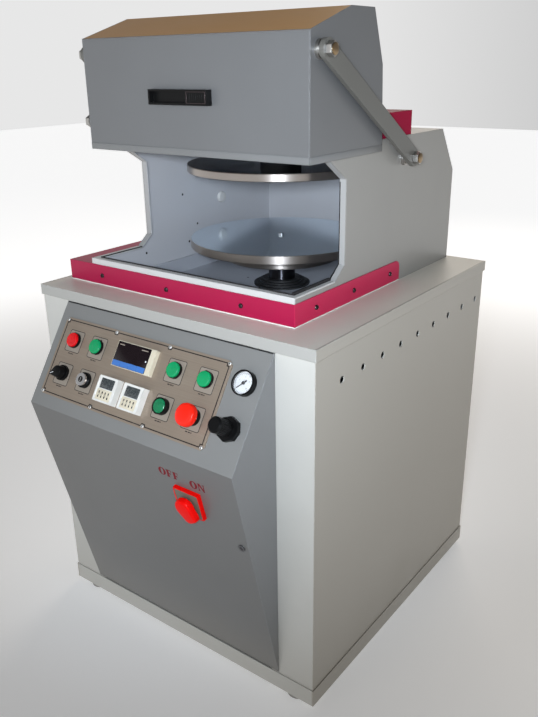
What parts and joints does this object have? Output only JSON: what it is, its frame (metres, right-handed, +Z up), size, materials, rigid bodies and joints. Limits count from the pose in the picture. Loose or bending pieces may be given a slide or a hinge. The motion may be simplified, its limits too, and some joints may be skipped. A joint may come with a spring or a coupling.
{
  "type": "spin casting machine",
  "caption": "Floor-standing spin casting machine: cabinet with wedge control door, turntable that lifts a mould to an upper plate, and a hood on parallel arms.",
  "frame": {"origin": "on the floor, under the middle of the machine's outline", "axes": "+X to the operator's right, +Y from the front to the back, +Z up"},
  "size_m": [0.67, 0.8089, 1.2215],
  "materials": {
    "cabinet_paint": "satin",
    "door_paint": "satin",
    "hood_paint": "satin",
    "roof_paint": "satin",
    "housing_paint": "satin",
    "crimson_paint": "gloss",
    "rubber": "matte",
    "plate_steel": "polished",
    "bare_steel": "satin",
    "frame_iron": "rough",
    "motor_paint": "satin",
    "cylinder_alloy": "satin",
    "fitting_brass": "satin",
    "black_plastic": "satin",
    "panel_alloy": "brushed",
    "meter_plastic": "gloss",
    "red_plastic": "gloss",
    "green_plastic": "gloss",
    "switch_plastic": "gloss",
    "chrome": "polished"
  },
  "bodies": {
    "machine": {"feet": "rubber", "base_frame": "cabinet_paint", "side_panel_left": "cabinet_paint", "side_panel_right": "cabinet_paint", "back_panel": "cabinet_paint", "countertop": "cabinet_paint", "housing_left_wall": "housing_paint", "housing_right_wall": "housing_paint", "housing_shell": "housing_paint", "tray": "housing_paint", "opening_seal": "rubber", "skirt": "crimson_paint", "bearing_cover": "crimson_paint", "upper_bearing": "frame_iron", "drive_frame": "frame_iron", "shaft_seal": "rubber", "motor": "motor_paint", "drive_belt": "rubber", "air_cylinder": "cylinder_alloy", "inverter": "black_plastic", "valve_block": "cylinder_alloy", "air_inlet": "fitting_brass", "cable_gland": "fitting_brass", "hinge_pins": "bare_steel"},
    "arms": {"right_arm": "hood_paint", "left_arm": "hood_paint"},
    "hood": {"hood_front": "hood_paint", "hood_roof": "roof_paint", "hood_side_left": "hood_paint", "hood_side_right": "hood_paint", "hood_handle": "black_plastic"},
    "latch": {"hood_latch": "black_plastic"},
    "lower_link": {"lower_arm": "hood_paint"},
    "door": {"door_shell": "door_paint", "door_hinges": "bare_steel", "control_plate": "panel_alloy", "speed_display": "meter_plastic", "timers": "meter_plastic", "button_bezels": "black_plastic", "gauge_body": "black_plastic", "regulator_body": "black_plastic", "switch_plate": "switch_plastic"},
    "red_push": {"red_button": "red_plastic"},
    "green_push_1": {"green_button_1": "green_plastic"},
    "green_push_2": {"green_button_2": "green_plastic"},
    "green_push_3": {"green_button_3": "green_plastic"},
    "green_push_4": {"green_button_4": "green_plastic"},
    "stop_push": {"stop_button": "switch_plastic"},
    "selector": {"selector_knob": "black_plastic"},
    "key": {"key_switch": "chrome"},
    "needle": {"gauge_needle": "black_plastic"},
    "regulator": {"regulator_knob": "black_plastic"},
    "switch": {"switch_handle": "switch_plastic"},
    "lock": {"door_lock": "chrome"},
    "drive": {"drive_pulley": "bare_steel"},
    "turntable": {"spindle": "bare_steel", "lower_plate": "plate_steel"},
    "piston": {"cylinder_rod": "bare_steel"},
    "rotor": {"motor_pulley": "bare_steel"},
    "upper_turntable": {"upper_plate": "plate_steel"}
  },
  "joints": [
    {"name": "hood_swing", "type": "hinge", "parent": "machine", "child": "arms", "pos_m": [0, 0.14428, 0.9685], "axis": [1, 0, 0], "range_deg": [0, 34.7]},
    {"name": "hood_level", "type": "hinge", "parent": "arms", "child": "hood", "pos_m": [0, -0.15972, 1.1575], "axis": [1, 0, 0], "range_deg": [-34.7, 0]},
    {"name": "lower_link_swing", "type": "hinge", "parent": "machine", "child": "lower_link", "pos_m": [0, 0.14428, 0.8485], "axis": [1, 0, 0], "range_deg": [0, 34.7]},
    {"name": "latch_press", "type": "slide", "parent": "hood", "child": "latch", "axis": [0, 1, 0], "range_m": [0, 0.004], "stiffness_N_per_m": 400},
    {"name": "door_swing", "type": "hinge", "parent": "machine", "child": "door", "pos_m": [-0.2595, -0.28772, 0.049], "axis": [0, 0, -1], "range_deg": [0, 90]},
    {"name": "red_push", "type": "slide", "parent": "door", "child": "red_push", "axis": [0, 0.8328, -0.5536], "range_m": [0, 0.003], "stiffness_N_per_m": 400},
    {"name": "green_push_1", "type": "slide", "parent": "door", "child": "green_push_1", "axis": [0, 0.8328, -0.5536], "range_m": [0, 0.003], "stiffness_N_per_m": 400},
    {"name": "green_push_2", "type": "slide", "parent": "door", "child": "green_push_2", "axis": [0, 0.8328, -0.5536], "range_m": [0, 0.003], "stiffness_N_per_m": 400},
    {"name": "green_push_3", "type": "slide", "parent": "door", "child": "green_push_3", "axis": [0, 0.8328, -0.5536], "range_m": [0, 0.003], "stiffness_N_per_m": 400},
    {"name": "green_push_4", "type": "slide", "parent": "door", "child": "green_push_4", "axis": [0, 0.8328, -0.5536], "range_m": [0, 0.003], "stiffness_N_per_m": 400},
    {"name": "stop_push", "type": "slide", "parent": "door", "child": "stop_push", "axis": [0, 0.8328, -0.5536], "range_m": [0, 0.006]},
    {"name": "selector_turn", "type": "hinge", "parent": "door", "child": "selector", "pos_m": [-0.193, -0.35867, 0.59024], "axis": [0, -0.8328, 0.5536], "range_deg": [-90, 0]},
    {"name": "key_turn", "type": "hinge", "parent": "door", "child": "key", "pos_m": [-0.129, -0.35867, 0.59024], "axis": [0, -0.8328, 0.5536], "range_deg": [-90, 0]},
    {"name": "needle_turn", "type": "hinge", "parent": "door", "child": "needle", "pos_m": [0.22, -0.31549, 0.6552], "axis": [0, -0.8328, 0.5536], "range_deg": [-270, 0]},
    {"name": "regulator_turn", "type": "hinge", "parent": "door", "child": "regulator", "pos_m": [0.22, -0.35867, 0.59024], "axis": [0, -0.8328, 0.5536], "range_deg": [-360, 360]},
    {"name": "switch_turn", "type": "hinge", "parent": "door", "child": "switch", "pos_m": [0.14, -0.37579, 0.43575], "axis": [0, -0.9717, -0.2364], "range_deg": [-90, 0]},
    {"name": "lock_turn", "type": "hinge", "parent": "door", "child": "lock", "pos_m": [0.238, -0.36019, 0.37162], "axis": [0, -0.9717, -0.2364], "range_deg": [0, 90]},
    {"name": "spindle_spin", "type": "hinge", "parent": "machine", "child": "drive", "pos_m": [0, 0.08828, 0.5477], "axis": [0, 0, 1], "continuous": true},
    {"name": "plate_lift", "type": "slide", "parent": "drive", "child": "turntable", "axis": [0, 0, 1], "range_m": [0, 0.12]},
    {"name": "piston_lift", "type": "slide", "parent": "machine", "child": "piston", "axis": [0, 0, 1], "range_m": [0, 0.12]},
    {"name": "motor_spin", "type": "hinge", "parent": "machine", "child": "rotor", "pos_m": [0.196, 0.08828, 0.5477], "axis": [0, 0, 1], "continuous": true},
    {"name": "upper_spin", "type": "hinge", "parent": "machine", "child": "upper_turntable", "pos_m": [0, 0.08828, 0.937], "axis": [0, 0, 1], "continuous": true}
  ],
  "couplings": [
    {"joint": "hood_level", "follows": "hood_swing", "ratio": -1},
    {"joint": "lower_link_swing", "follows": "hood_swing", "ratio": 1},
    {"joint": "piston_lift", "follows": "plate_lift", "ratio": 1},
    {"joint": "motor_spin", "follows": "spindle_spin", "ratio": 1.56}
  ]
}
